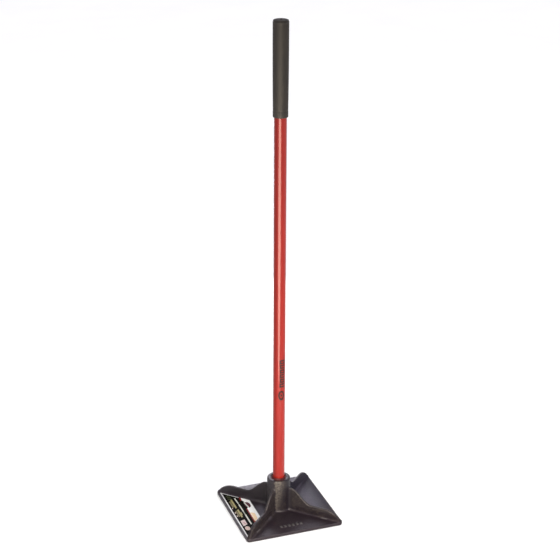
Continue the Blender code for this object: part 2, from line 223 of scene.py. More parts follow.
def cast_iron_paint():
    """Thick black enamel over a sand-cast skin with brownish worn mottle, and warm painted highlights
    and painted light in places.
    """
    s = Shader("black_enamel_on_cast_iron", Metallic=0.0, Specular_IOR_Level=0.34)
    skin = s.noise(420, 5.0, 0.62)
    sand = s.noise(1500, 3.0, 0.6)
    broad = s.noise(26, 3.0, 0.5)
    patches = s.noise(110, 5.0, 0.65, distortion=0.4)
    grit = s.noise(230, 5.0, 0.7)
    height = s.along((0.0, 0.0, 1.0))
    to_right = s.along((1.0, 0.0, 0.0))
    to_back = s.along((0.0, 1.0, 0.0))

    def rib_side(outward, run):
        """One side of one rib, by the directions that the side faces and that the rib runs."""
        across = s.within(s.along(outward), 2.0 * MM, 13.0 * MM, 2.0 * MM)
        return s.math("MULTIPLY", across, s.within(s.along(run), 36.0 * MM, 175.0 * MM, 5.0 * MM))

    near_right = rib_side((-SLANT, -SLANT, 0.0), (SLANT, -SLANT, 0.0))
    far_left = rib_side((-SLANT, -SLANT, 0.0), (-SLANT, SLANT, 0.0))
    near_left = rib_side((SLANT, -SLANT, 0.0), (-SLANT, -SLANT, 0.0))
    far_right = rib_side((SLANT, -SLANT, 0.0), (SLANT, SLANT, 0.0))
    socket_right = s.math(
        "MULTIPLY",
        s.within(s.along(TO_VIEW_RIGHT), 14.0 * MM, 34.0 * MM, 3.0 * MM),
        s.within(s.along(TO_VIEWER), -16.0 * MM, 22.0 * MM, 3.0 * MM),
    )
    # Painted shade: these sides are kept darker, and the lighter mottle is mostly left off them.
    shade_sides = s.math("MAXIMUM", s.math("MAXIMUM", far_left, far_right), socket_right)
    low_down = s.span(height, 8.6 * MM, 13.0 * MM, 1.0, 0.0)
    right_bay = s.math("MULTIPLY", s.span(to_right, 50.0 * MM, 74.0 * MM), low_down)
    right_bay = s.math("MULTIPLY", right_bay, s.span(to_back, -62.0 * MM, -25.0 * MM))

    paint = s.ramp(broad, (0.30, (0.0080, 0.0055, 0.0080)), (0.70, (0.0145, 0.0105, 0.0140)))
    # Painted light: below the rib feet the plate's floor is lighter and purplish, as if lit from the
    # sky.
    paint = s.mix(s.math("MULTIPLY", low_down, 0.55), paint, (0.0240, 0.0150, 0.0210))
    # Painted reflection of the cool sky on the right bay's floor and on the far right rib's side.
    cool_sky_reflection = s.math("MULTIPLY", s.math("MAXIMUM", far_right, right_bay), 0.6)
    paint = s.mix(cool_sky_reflection, paint, (0.0150, 0.0130, 0.0280))
    mottle = s.math("MULTIPLY", s.span(patches, 0.40, 0.66), s.span(grit, 0.36, 0.60))
    mottle = s.math("MULTIPLY", mottle, s.span(low_down, 0.0, 1.0, 0.60, 0.22))
    mottle = s.math("MULTIPLY", mottle, s.span(shade_sides, 0.0, 1.0, 1.0, 0.15))
    worn = s.mix(mottle, paint, (0.046, 0.035, 0.028))

    # Painted highlight, warm like the front light: down the socket's front, and thinner on the two
    # near ribs.
    speckle = s.span(grit, 0.38, 0.60, 0.25, 1.0)
    above_foot = s.span(height, 9.0 * MM, 14.0 * MM)
    wander = s.span(patches, 0.3, 0.7, -3.0 * MM, 3.0 * MM)
    from_left = s.math("ADD", s.along(TO_VIEW_RIGHT), wander)
    leaning = s.math("ADD", s.along((*TO_VIEW_RIGHT[:2], -0.22)), wander)
    streak = s.math(
        "MULTIPLY",
        s.span(from_left, -11.0 * MM, -6.5 * MM),
        s.span(leaning, -16.0 * MM, 3.0 * MM, 1.0, 0.0),
    )
    socket_front = s.within(s.along(TO_VIEWER), 22.0 * MM, 31.5 * MM, 2.0 * MM)
    socket_front = s.math("MULTIPLY", s.math("MULTIPLY", socket_front, streak), above_foot)
    high_up = s.span(height, 10.0 * MM, 36.0 * MM, 0.0, 0.22)
    painted_highlight = s.math("MAXIMUM", socket_front, s.math("MULTIPLY", near_right, high_up))
    painted_highlight = s.math("MAXIMUM", painted_highlight, s.math("MULTIPLY", near_left, 0.15))
    wear_and_painted_light = s.mix(s.math("MULTIPLY", painted_highlight, speckle), worn, (0.090, 0.075, 0.061))

    # Painted light: a bluish-grey patch on the floor behind the label, where sky light falls.
    behind_label = s.math(
        "MULTIPLY",
        s.within(to_right, -58.0 * MM, -38.0 * MM, 8.0 * MM),
        s.within(to_back, -50.0 * MM, 18.0 * MM, 14.0 * MM),
    )
    wear_and_painted_light = s.mix(s.math("MULTIPLY", behind_label, low_down), wear_and_painted_light, (0.100, 0.088, 0.108))
    # Painted reflection: the right bay's floor is lighter and bluish near the socket, fading outward.
    by_socket = s.math("MULTIPLY", right_bay, s.span(to_right, 83.0 * MM, 107.0 * MM, 0.70, 0.0))
    wear_and_painted_light = s.mix(by_socket, wear_and_painted_light, (0.062, 0.053, 0.074))
    marks = s.math(
        "MULTIPLY",
        s.within(to_back, -102.5 * MM, -90.5 * MM, 0.5 * MM),
        s.within(height, 8.7 * MM, 10.5 * MM, 0.3 * MM),
    )
    rubbed = s.mix(s.math("MULTIPLY", marks, 0.7), wear_and_painted_light, (0.085, 0.078, 0.076))
    rim = s.span(s.edges(), 0.515, 0.56, 0.0, 0.5)
    s.feed("Base Color", s.mix(rim, rubbed, (0.056, 0.050, 0.049)))

    # Grime dulls the rib feet in the front bay, and the plate's right edge is rougher.
    foot = s.within(height, 9.2 * MM, 24.5 * MM, 2.5 * MM)
    foot = s.math("MULTIPLY", foot, s.span(to_back, -42.0 * MM, -34.0 * MM, 1.0, 0.0))
    grimy = s.math("MAXIMUM", foot, s.math("MULTIPLY", near_right, 0.35))
    s.feed("Specular IOR Level", s.span(grimy, 0.0, 1.0, 0.34, 0.08))
    edge = s.math("MULTIPLY", s.span(to_right, 92.0 * MM, 124.0 * MM, 0.0, 0.6), low_down)
    rough = s.math("MAXIMUM", edge, s.math("MULTIPLY", far_right, 0.8))
    s.feed("Roughness", s.span(rough, 0.0, 1.0, s.span(skin, 0.30, 0.75, 0.32, 0.50), 0.92))
    return s.bump((broad, 1.6 * MM), (skin, 0.44 * MM), (sand, 0.14 * MM))


def red_tube():
    """Red pultruded fibreglass: lengthwise strands under a clear gloss, with painted shade darkening
    one side and a thinner coat there.
    """
    s = Shader("red_fibreglass", Specular_IOR_Level=0.10, Coat_Roughness=0.10, Coat_Weight=0.46)
    strands = s.noise(900, 3.0, 0.6, s.stretched((1.0, 1.0, 0.012)))
    clouds = s.noise(9, 2.0, 0.5, s.stretched((1.0, 1.0, 0.35)))
    red = s.ramp(
        s.mix(0.35, strands, clouds),
        (0.30, (0.235, 0.0085, 0.0040)),
        (0.55, (0.275, 0.0105, 0.0050)),
        (0.75, (0.310, 0.0140, 0.0065)),
    )
    scuffs = s.span(s.noise(160, 6.0, 0.7, s.stretched((1.0, 1.0, 0.10))), 0.66, 0.74, 0.0, 0.25)
    # Painted shade: the side towards the view's left is darker red, with a thinner coat.
    shaded_side = s.span(s.along(TO_VIEW_RIGHT), -9.5 * MM, -4.5 * MM, 1.0, 0.0)
    red = s.mix(shaded_side, red, (0.205, 0.0070, 0.0022))
    s.feed("Base Color", s.mix(scuffs, red, (0.50, 0.10, 0.07)))
    s.feed("Coat Weight", s.span(shaded_side, 0.0, 1.0, 0.46, 0.22))
    s.feed("Roughness", s.span(strands, 0.3, 0.7, 0.22, 0.32))
    return s.bump((strands, 0.05 * MM))


def grip_elastomer():
    """Warm grey-black moulded rubber with a fine spark-eroded texture and rubbed patches."""
    s = Shader("grip_elastomer", Specular_IOR_Level=0.20)
    grain = s.noise(1300, 4.0, 0.6)
    pores = s.cells(700)
    smear = s.noise(38, 4.0, 0.55, s.stretched((1.0, 1.0, 0.45)))
    body = s.ramp(smear, (0.32, (0.0185, 0.0150, 0.0130)), (0.70, (0.029, 0.0240, 0.0180)))
    # Lighter on the crowned edges.
    crowned_edges = s.span(s.edges(), 0.51, 0.56, 0.0, 0.4)
    s.feed("Base Color", s.mix(crowned_edges, body, (0.070, 0.062, 0.056)))
    s.feed("Roughness", s.span(grain, 0.3, 0.7, 0.50, 0.64))
    return s.bump((pores, 0.06 * MM), (grain, 0.05 * MM))


def cured_resin():
    s = Shader("cured_resin", Specular_IOR_Level=0.15)
    flow = s.noise(210, 3.0, 0.5)
    s.feed("Base Color", s.ramp(flow, (0.3, (0.055, 0.008, 0.009)), (0.7, (0.095, 0.014, 0.013))))
    s.feed("Roughness", s.span(flow, 0.3, 0.7, 0.45, 0.60))
    return s.bump((flow, 0.4 * MM))


def zinc():
    """Bright zinc plate, faintly mottled, with fine turning marks."""
    s = Shader("zinc_plate", Metallic=1.0)
    spangle = s.cells(900)
    haze = s.noise(260, 4.0, 0.6)
    s.feed("Base Color", s.ramp(haze, (0.3, (0.46, 0.46, 0.44)), (0.7, (0.66, 0.66, 0.64))))
    s.feed("Roughness", s.span(spangle, 0.1, 0.8, 0.24, 0.42))
    return s.bump((haze, 0.05 * MM))


def dowel():
    s = Shader("hardwood_core", Specular_IOR_Level=0.3)
    grain = s.noise(500, 6.0, 0.65, s.stretched((1.0, 1.0, 0.03)))
    s.feed("Base Color", s.ramp(grain, (0.35, (0.33, 0.20, 0.10)), (0.65, (0.56, 0.39, 0.23))))
    s.feed("Roughness", s.span(grain, 0.3, 0.7, 0.55, 0.75))
    return s.bump((grain, 0.1 * MM))


def moulded_black():
    s = Shader("moulded_nylon", Specular_IOR_Level=0.4)
    grain = s.noise(900, 3.0, 0.6)
    s.feed("Base Color", s.ramp(grain, (0.3, (0.018, 0.018, 0.018)), (0.7, (0.032, 0.031, 0.031))))
    s.feed("Roughness", s.span(grain, 0.3, 0.7, 0.45, 0.6))
    return s.bump((grain, 0.03 * MM))


def ink(name, colour, roughness=0.50, gloss=0.10):
    """A printed colour with the faint mottle of ink on film."""
    s = Shader(name, Specular_IOR_Level=gloss)
    mottle = s.noise(700, 3.0, 0.6)
    pale = tuple(min(1.0, c * 1.12 + 0.004) for c in colour)
    dark = tuple(c * 0.86 for c in colour)
    s.feed("Base Color", s.ramp(mottle, (0.3, dark), (0.7, pale)))
    s.feed("Roughness", s.span(mottle, 0.3, 0.7, roughness - 0.05, roughness + 0.07))
    return s.bump((s.noise(60, 2.0), 0.08 * MM))


def studio_floor():
    s = Shader("pale_floor", Specular_IOR_Level=0.0)
    drift = s.noise(3, 2.0, 0.5)
    s.feed("Base Color", s.ramp(drift, (0.3, (0.93, 0.93, 0.93)), (0.7, (0.95, 0.95, 0.95))))
    s.body.inputs["Roughness"].default_value = 0.85
    s.body.inputs["Emission Color"].default_value = (1.0, 1.0, 1.0, 1.0)
    s.body.inputs["Emission Strength"].default_value = 0.05
    return s.material


# ---------------------------------------------------------------- the casting as a distance field


def clamp_join(a, b, blend):
    """Two solids as one, with a fillet in the corner between them."""
    share = np.clip(0.5 + 0.5 * (b - a) / blend, 0.0, 1.0)
    return b + (a - b) * share - blend * share * (1.0 - share)


def common(a, b, rounding):
    """What is inside both, with the edge between them rounded."""
    a, b = a + rounding, b + rounding
    outside = np.hypot(np.maximum(a, 0.0), np.maximum(b, 0.0))
    return np.minimum(np.maximum(a, b), 0.0) + outside - rounding


def ease(value, low, high):
    share = np.clip((value - low) / (high - low), 0.0, 1.0)
    return share * share * (3.0 - 2.0 * share)


def rib_top(distance):
    """The rib's top over its distance from the axis: shoulder, swept fall, long ear and nose."""
    swept = RIB_SHOULDER - RIB_FALL * ease(distance, FALL_START, FALL_END)
    nose = np.clip((distance - NOSE_START) / NOSE_LENGTH, 0.0, 1.0)
    return swept * (1.0 - nose**1.8) ** (1 / 1.8)


RIB_STEP = 0.5 * MM
RIB_GRID_LOW = -6 * MM


def rib_field():
    """Signed distances to the rib's side view, on a grid over (distance, height)."""
    run = np.linspace(0.0, 1.0, 110)
    nose = NOSE_START + NOSE_LENGTH - NOSE_LENGTH * (1.0 - run) ** 2
    along = np.concatenate([np.linspace(RIB_START, NOSE_START, 150), nose[1:]])
    outline = np.stack([along, rib_top(along)], axis=1)
    outline = outline[outline[:, 1] > RIB_FOOT]
    foot = np.array([[outline[-1, 0], RIB_FOOT], [RIB_START, RIB_FOOT]])
    outline = np.concatenate([outline, foot])
    distances = np.arange(0, NOSE_START + NOSE_LENGTH + 14 * MM, RIB_STEP)
    heights = np.arange(RIB_GRID_LOW, SOCKET_TOP + 9 * MM, RIB_STEP)
    r, z = np.meshgrid(distances, heights, indexing="ij")
    nearest = np.full(r.shape, 1.0)
    inside = np.zeros(r.shape, bool)
    for a, b in zip(outline, np.roll(outline, -1, axis=0)):
        edge = b - a
        share = ((r - a[0]) * edge[0] + (z - a[1]) * edge[1]) / max(edge @ edge, 1e-12)
        share = np.clip(share, 0.0, 1.0)
        nearest = np.minimum(nearest, np.hypot(r - a[0] - share * edge[0], z - a[1] - share * edge[1]))
        crosses = (a[1] > z) != (b[1] > z)
        rise = edge[1] if abs(edge[1]) > 1e-12 else 1e-12
        inside ^= crosses & (r < a[0] + edge[0] * (z - a[1]) / rise)
    return np.where(inside, -nearest, nearest)


RIB_GRID = rib_field()


def rib_distance(r, z):
    i = np.clip(r / RIB_STEP, 0, RIB_GRID.shape[0] - 1.001)
    j = np.clip((z - RIB_GRID_LOW) / RIB_STEP, 0, RIB_GRID.shape[1] - 1.001)
    i0, j0 = i.astype(int), j.astype(int)
    u, v = i - i0, j - j0
    low = RIB_GRID[i0, j0] * (1 - u) + RIB_GRID[i0 + 1, j0] * u
    high = RIB_GRID[i0, j0 + 1] * (1 - u) + RIB_GRID[i0 + 1, j0 + 1] * u
    return low * (1 - v) + high * v


def plain_box(x, y, centre, half, corner):
    over_x = np.abs(x - centre[0]) - half[0] + corner
    over_y = np.abs(y - centre[1]) - half[1] + corner
    outside = np.hypot(np.maximum(over_x, 0.0), np.maximum(over_y, 0.0))
    return outside + np.minimum(np.maximum(over_x, over_y), 0.0) - corner


def head_field(x, y, z):
    """Signed distance to the casting: below zero inside the iron.

    The last value of each join or common is its fillet or its rounded edge.
    """
    square = plain_box(x, y, (0.0, 0.0), (HALF_SIDE, HALF_SIDE), CORNER)
    plate = common(square, z - PLATE_TOP, 2.2 * MM)
    ax, ay = np.abs(x), np.abs(y)
    along, across = (ax + ay) / math.sqrt(2), np.abs(ax - ay) / math.sqrt(2)
    half_thick = RIB_HALF - RIB_DRAFT * (z - PLATE_TOP)
    ribs = common(rib_distance(along, z), across - half_thick, 2.3 * MM)
    rho = np.hypot(x, y)
    socket = common(common(rho - SOCKET_RADIUS, z - SOCKET_TOP, 4.4 * MM), 4.0 * MM - z, 0.1 * MM)
    from_screw = np.hypot(x, z - SCREW_HEIGHT)
    boss = common(common(from_screw - BOSS_RADIUS, y - BOSS_FACE, 0.8 * MM), 22.0 * MM - y, 0.1 * MM)
    # The ribs' foot fillets are tight beside the label and widen towards the socket.
    labelled = (x < 0) & (ay < ax)
    foot = np.where(labelled, 4.2 + 5.8 * ease(rho, 82 * MM, 56 * MM), 7.0) * MM
    field = clamp_join(plate, ribs, foot)
    field = common(field, square, 1.5 * MM)
    field = clamp_join(field, socket, 7.0 * MM)
    field = clamp_join(field, boss, 3.0 * MM)
    for index in range(MARK_COUNT):
        centre = (MARK_ROW[0] + (index - (MARK_COUNT - 1) / 2) * MARK_PITCH, MARK_ROW[1])
        mark = plain_box(x, y, centre, MARK_HALF, 0.8 * MM)
        field = clamp_join(field, common(mark, z - PLATE_TOP - MARK_RISE, 0.5 * MM), 0.8 * MM)
    field = common(field, -z, 0.9 * MM)
    share = (z - BORE_FLOOR) / (SOCKET_TOP - BORE_FLOOR)
    bore = common(rho - BORE_FOOT - share * (BORE_MOUTH - BORE_FOOT), BORE_FLOOR - z, 1.0 * MM)
    return common(field, -bore, 1.0 * MM)


def surface_of(field, low, high, step):
    """Quads round the places where the field changes sign, with each corner moved onto the surface."""
    axes = [np.arange(a, b + step, step) for a, b in zip(low, high)]
    values = np.empty([len(a) for a in axes], np.float32)
    x, y = np.meshgrid(axes[0], axes[1], indexing="ij")
    for k, level in enumerate(axes[2]):
        values[:, :, k] = field(x, y, np.full_like(x, level))
    inside = values < 0
    shape = [n - 1 for n in values.shape]
    total = np.zeros(shape + [3], np.float32)
    count = np.zeros(shape, np.float32)

    def corner(array, offset):
        return array[tuple(slice(o, o + n) for o, n in zip(offset, shape))]

    for axis in range(3):
        others = [a for a in range(3) if a != axis]
        for first in (0, 1):
            for second in (0, 1):
                near = [0, 0, 0]
                near[others[0]], near[others[1]] = first, second
                far = list(near)
                far[axis] = 1
                a, b = corner(values, near), corner(values, far)
                cut = corner(inside, near) != corner(inside, far)
                share = np.where(cut, a / np.where(cut, a - b, 1.0), 0.0)
                count += cut
                for c in range(3):
                    total[..., c] += np.where(cut, share if c == axis else near[c], 0.0)
    cells = np.argwhere(count > 0)
    index = np.full(shape, -1, np.int64)
    index[tuple(cells.T)] = np.arange(len(cells))
    picked = tuple(cells.T)
    points = (cells + total[picked] / count[picked][:, None]) * step + np.array(low)
    quads = []
    for axis in range(3):
        near = [slice(1, n) for n in shape]
        far = [slice(1, n) for n in shape]
        near[axis], far[axis] = slice(0, shape[axis]), slice(1, shape[axis] + 1)
        a, b = inside[tuple(near)], inside[tuple(far)]
        u, v = [c for c in range(3) if c != axis]
        for solid_first in (True, False):
            at = np.argwhere((a & ~b) if solid_first else (b & ~a))
            for c in (u, v):
                at[:, c] += 1
            ring = []
            for du, dv in ((0, 0), (1, 0), (1, 1), (0, 1)):
                cell = at.copy()
                cell[:, u] -= du
                cell[:, v] -= dv
                ring.append(index[tuple(cell.T)])
            ring = np.stack(ring, axis=1)
            flip = solid_first != (axis == 1)
            quads.append(ring if flip else ring[:, ::-1])
    quads = np.concatenate(quads)
    nudge = 0.15 * MM
    for _ in range(3):
        here = field(*points.T)
        slope = np.empty_like(points)
        for c in range(3):
            ahead, behind = points.copy(), points.copy()
            ahead[:, c] += nudge
            behind[:, c] -= nudge
            slope[:, c] = (field(*ahead.T) - field(*behind.T)) / (2 * nudge)
        steep = np.maximum((slope**2).sum(axis=1), 0.2)
        move = slope * (here / steep)[:, None]
        points -= np.clip(move, -0.5 * step, 0.5 * step)
    return points, quads


def mesh_object(name, points, faces):
    mesh = bpy.data.meshes.new(name)
    mesh.from_pydata([tuple(p) for p in points], [], [tuple(f) for f in faces])
    mesh.validate()
    obj = bpy.data.objects.new(name, mesh)
    bpy.context.scene.collection.objects.link(obj)
    return obj


def quad_object(name, points, quads):
    """A mesh straight from arrays, for the big ones."""
    mesh = bpy.data.meshes.new(name)
    mesh.vertices.add(len(points))
    mesh.vertices.foreach_set("co", np.asarray(points, np.float32).ravel())
    mesh.loops.add(4 * len(quads))
    mesh.loops.foreach_set("vertex_index", np.asarray(quads, np.int32).ravel())
    mesh.polygons.add(len(quads))
    mesh.polygons.foreach_set("loop_start", np.arange(len(quads), dtype=np.int32) * 4)
    mesh.update(calc_edges=True)
    mesh.validate()
    obj = bpy.data.objects.new(name, mesh)
    bpy.context.scene.collection.objects.link(obj)
    return obj


def finish(obj, material, sharp=None):
    """Gives a piece its material and its shading, and rides it on the tool's one body."""
    obj.data.materials.clear()
    obj.data.materials.append(material)
    obj.data.shade_smooth()
    if sharp:
        obj.data.set_sharp_from_angle(angle=math.radians(sharp))
    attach(obj, "root")
    return obj


def lathe(name, profile, steps, closed=False):
    """A profile of (radius, height) points turned about the handle's axis."""
    mesh = bpy.data.meshes.new(name)
    edges = [(i, i + 1) for i in range(len(profile) - 1)]
    if closed:
        edges.append((len(profile) - 1, 0))
    mesh.from_pydata([(r, 0.0, z) for r, z in profile], edges, [])
    obj = bpy.data.objects.new(name, mesh)
    bpy.context.scene.collection.objects.link(obj)
    turn = obj.modifiers.new("Turn", "SCREW")
    turn.axis = "Z"
    turn.steps = turn.render_steps = steps
    turn.use_merge_vertices = True
    turn.merge_threshold = 0.00002
    turn.use_smooth_shade = True
    bpy.context.view_layer.update()
    graph = bpy.context.evaluated_depsgraph_get()
    made = bpy.data.meshes.new_from_object(obj.evaluated_get(graph))
    obj.modifiers.clear()
    obj.data = made
    return obj


def arc(centre_r, centre_z, radius, start, end, count):
    """Points of a round stretch of a profile, with the angles in degrees from +r towards +Z."""
    angles = [math.radians(start + (end - start) * i / count) for i in range(count + 1)]
    return [(centre_r + radius * math.cos(a), centre_z + radius * math.sin(a)) for a in angles]


# ---------------------------------------------------------------- head

step = 1.2 * MM
margin = 2.5 * MM
points, quads = surface_of(
    head_field,
    (head_low.x - margin, head_low.y - margin, head_low.z - margin),
    (head_high.x + margin, head_high.y + margin, head_high.z + margin),
    step,
)
head = quad_object("cast_head", points, quads)
thin = head.modifiers.new("Fewer faces where flat", "DECIMATE")
thin.ratio = 0.62
finish(head, cast_iron_paint())
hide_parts("tamper_head")

# ---------------------------------------------------------------- handle

tube_profile = [(HANDLE_RADIUS - 0.5 * MM, tube_high.z), (HANDLE_RADIUS, tube_high.z - 0.5 * MM)]
rows = 90
for i in range(1, rows):
    height = tube_high.z + (tube_low.z - tube_high.z) * i / rows
    tube_profile.append((HANDLE_RADIUS, height))
tube_profile += [(HANDLE_RADIUS, tube_low.z + 0.5 * MM), (HANDLE_RADIUS - 0.5 * MM, tube_low.z)]
tube_profile += [(HANDLE_RADIUS - TUBE_WALL, tube_low.z), (HANDLE_RADIUS - TUBE_WALL, tube_high.z)]
handle = lathe("fibreglass_handle", tube_profile, 128, closed=True)
finish(handle, red_tube(), sharp=40)
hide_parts("handle_tube")

resin_crest = ring_high.z
resin_edge = SOCKET_TOP - 1.5 * MM
resin_inner, resin_outer = HANDLE_RADIUS + 0.02 * MM, ring_high.x + 0.2 * MM
resin_foot = BORE_FOOT - 0.2 * MM
resin_profile = [(resin_outer, resin_edge), (resin_foot, ring_low.z), (resin_inner, ring_low.z)]
for share in (0.0, 0.08, 0.18, 0.30, 0.45, 0.62, 0.80):
    climb = (1.0 - share) ** 3
    height = resin_edge - 0.5 * MM * math.sin(math.pi * share) + (resin_crest - resin_edge) * climb
    resin_profile.append((resin_inner + (resin_outer - resin_inner) * share, height))
resin = lathe("potting_resin", resin_profile, 96, closed=True)
finish(resin, cured_resin(), sharp=50)
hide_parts("potting_ring")

for node, material in (("lower_core_plug", dowel()), ("upper_core_plug", moulded_black())):
    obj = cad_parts[node]
    obj.data.materials.clear()
    obj.data.materials.append(material)

# ---------------------------------------------------------------- grip


def grip_radius(height):
    """The grip's body: slim over the lip and swelling to a long, nearly straight upper half."""
    share = min(1.0, max(0.0, (height - grip_low.z - 4 * MM) / (165 * MM)))
    return (17.60 + 1.12 * (1.0 - (1.0 - share) ** 2)) * MM


grip_top = grip_high.z - 2.2 * MM
grip_profile = [(0.0, grip_high.z), (1.1 * MM, grip_high.z - 0.2 * MM)]
grip_profile += [(1.8 * MM, grip_high.z - 1.0 * MM), (2.3 * MM, grip_top + 0.1 * MM)]
grip_profile += [(3.4 * MM, grip_top), (9.0 * MM, grip_top - 0.15 * MM)]
grip_profile += [(13.0 * MM, grip_top - 0.5 * MM)]
edge_radius = grip_radius(grip_top)
grip_profile += arc(edge_radius - 3.6 * MM, grip_top - 3.9 * MM, 3.1 * MM, 84, 20, 7)
grip_profile += [(edge_radius - 1.15 * MM, grip_top - 4.2 * MM)]
grip_profile += [(edge_radius - 0.75 * MM, grip_top - 5.0 * MM), (edge_radius, grip_top - 5.5 * MM)]
lip_top = grip_low.z + 14.0 * MM
rows = 60
for i in range(1, rows + 1):
    height = grip_top - 5.5 * MM + (lip_top + 1.2 * MM - grip_top + 5.5 * MM) * i / rows
    grip_profile.append((grip_radius(height), height))
lip = grip_radius(lip_top)
grip_profile += [(lip - 0.35 * MM, lip_top + 0.7 * MM), (lip - 0.35 * MM, lip_top + 0.2 * MM)]
grip_profile += [(lip + 0.05 * MM, lip_top - 0.1 * MM), (lip + 0.25 * MM, lip_top - 0.7 * MM)]
grip_profile += arc(lip + 0.25 * MM - 1.2 * MM, grip_low.z + 1.2 * MM, 1.2 * MM, 0, -90, 5)
bore = HANDLE_RADIUS + 0.12 * MM
grip_profile += [(bore, grip_low.z), (bore, tube_high.z + 0.3 * MM), (0.0, tube_high.z + 0.3 * MM)]
grip = lathe("end_grip", grip_profile, 128)
finish(grip, grip_elastomer(), sharp=55)
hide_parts("grip_sleeve")

# ---------------------------------------------------------------- screw and washer


def along_back(obj, start):
    """Turns a shape made about +Z so that it points out of the socket's back."""
    obj.data.transform(
        Matrix.Translation((0.0, start, SCREW_HEIGHT)) @ Matrix.Rotation(-math.pi / 2, 4, "X")
    )
    return obj


washer_outer = washer_high.x
washer_thick = washer_high.y - washer_low.y
washer_profile = [(washer_outer - 0.25 * MM, washer_thick), (washer_outer, washer_thick - 0.25 * MM)]
washer_profile += [(washer_outer, 0.2 * MM), (washer_outer - 0.2 * MM, 0.0)]
washer_profile += [(2.8 * MM, 0.0), (2.8 * MM, washer_thick)]
washer = along_back(lathe("plain_washer", washer_profile, 64, closed=True), washer_low.y)
finish(washer, zinc(), sharp=30)
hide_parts("screw_washer")

tip = screw_low.y
stem = washer_high.y + 0.1 * MM - tip
crest, root, pitch, turns = 2.4 * MM, 1.95 * MM, 1.8 * MM, 9
screw_profile = [(0.0, stem + 1.6 * MM), (5.0 * MM, stem + 1.6 * MM), (6.3 * MM, stem + 1.1 * MM)]
screw_profile += [(6.8 * MM, stem + 0.6 * MM), (6.7 * MM, stem), (crest, stem)]
for i in range(turns):
    high = stem - 1.5 * MM - i * pitch
    screw_profile += [(crest, high), (crest, high - 0.35 * MM)]
    screw_profile += [(root, high - 0.9 * MM), (root, high - 1.45 * MM)]
screw_profile += [(1.9 * MM, 4.5 * MM), (0.0, 0.0)]
screw = along_back(lathe("screw_body", screw_profile, 64), tip)
finish(screw, zinc(), sharp=30)
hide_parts("retaining_screw")

hexagon = bpy.data.meshes.new("screw_hexagon")
shape = bmesh.new()
hex_radius = 5.8 * MM
hex_low, hex_high = stem + 1.2 * MM, screw_high.y - tip
bmesh.ops.create_cone(
    shape,
    cap_ends=True,
    segments=6,
    radius1=hex_radius,
    radius2=hex_radius,
    depth=hex_high - hex_low,
)
bmesh.ops.translate(shape, vec=(0, 0, (hex_high + hex_low) / 2), verts=shape.verts)
top = [f for f in shape.faces if f.normal.z > 0.9]
bmesh.ops.inset_region(shape, faces=top, thickness=0.9 * MM, depth=0.0)
rim = [v for f in shape.faces if f.normal.z > 0.9 and len(f.verts) == 4 for v in f.verts]
outer = {v for v in rim if math.hypot(v.co.x, v.co.y) > 0.9 * hex_radius}
for v in outer:
    v.co.z -= 0.5 * MM
bmesh.ops.bevel(
    shape,
    geom=[e for e in shape.edges if e.calc_face_angle(0.0) > math.radians(20)],
    offset=0.22 * MM,
    segments=2,
    affect="EDGES",
)
shape.to_mesh(hexagon)
shape.free()
hex_head = bpy.data.objects.new("screw_hexagon", hexagon)
bpy.context.scene.collection.objects.link(hex_head)
along_back(hex_head, tip)
finish(hex_head, zinc(), sharp=30)

# ---------------------------------------------------------------- label

FILM_TOP = PLATE_TOP + 0.35 * MM
INK_STEP = 0.02 * MM


def slab(name, outline, low, high, rounding=0.0):
    """A thin flat piece from its outline, with its corners rounded."""
    shape = bmesh.new()
    shape.faces.new([shape.verts.new((x, y, low)) for x, y in outline])
    shape.normal_update()
    if rounding:
        bmesh.ops.bevel(
            shape,
            geom=list(shape.verts),
            offset=rounding,
            segments=4,
            profile=0.5,
            affect="VERTICES",
        )
    grown = bmesh.ops.extrude_face_region(shape, geom=list(shape.faces))
    for item in grown["geom"]:
        if isinstance(item, bmesh.types.BMVert):
            item.co.z = high
    bmesh.ops.recalc_face_normals(shape, faces=shape.faces)
    mesh = bpy.data.meshes.new(name)
    shape.to_mesh(mesh)
    shape.free()
    obj = bpy.data.objects.new(name, mesh)
    bpy.context.scene.collection.objects.link(obj)
    return obj


def trapezium(outer, inner, margin):
    """Corners of a field in the left bay whose slanted ends keep a margin to the ribs."""
    return [
        (outer, outer + margin),
        (inner, inner + margin),
        (inner, -inner - margin),
        (outer, -outer - margin),
    ]


def printed(name, outline, material, level, rounding=0.0):
    """A block of ink a hair above the film. The outline and the rounding are in millimetres."""
    obj = slab(name, in_mm(outline), FILM_TOP, FILM_TOP + level * INK_STEP, rounding * MM)
    return finish(obj, material, sharp=30)


def oval(centre, half, count=36):
    angles = [2 * math.pi * i / count for i in range(count)]
    return [(centre[0] + half[0] * math.cos(a), centre[1] + half[1] * math.sin(a)) for a in angles]


def in_mm(corners):
    return [(x * MM, y * MM) for x, y in corners]


border_ink = ink("label_border", (0.60, 0.60, 0.60))
white_ink = ink("label_white", (0.90, 0.91, 0.88))
black_ink = ink("label_black", (0.004, 0.003, 0.002), 0.60, 0.02)
yellow_ink = ink("label_yellow", (0.30, 0.26, 0.11))
straw_ink = ink("label_straw", (0.15, 0.125, 0.06))
pink_ink = ink("label_pink", (0.54, 0.43, 0.41))
rose_ink = ink("label_rose", (0.60, 0.46, 0.40))
red_ink = ink("label_red", (0.22, 0.025, 0.022), 0.50, 0.05)
bright_ink = ink("label_grey", (0.60, 0.62, 0.56))
dull_ink = ink("label_dull", (0.30, 0.32, 0.27))
cream_ink = ink("label_cream", (0.88, 0.66, 0.42))
maroon_ink = ink("label_maroon", (0.075, 0.018, 0.028))
olive_ink = ink("label_olive", (0.035, 0.042, 0.016))

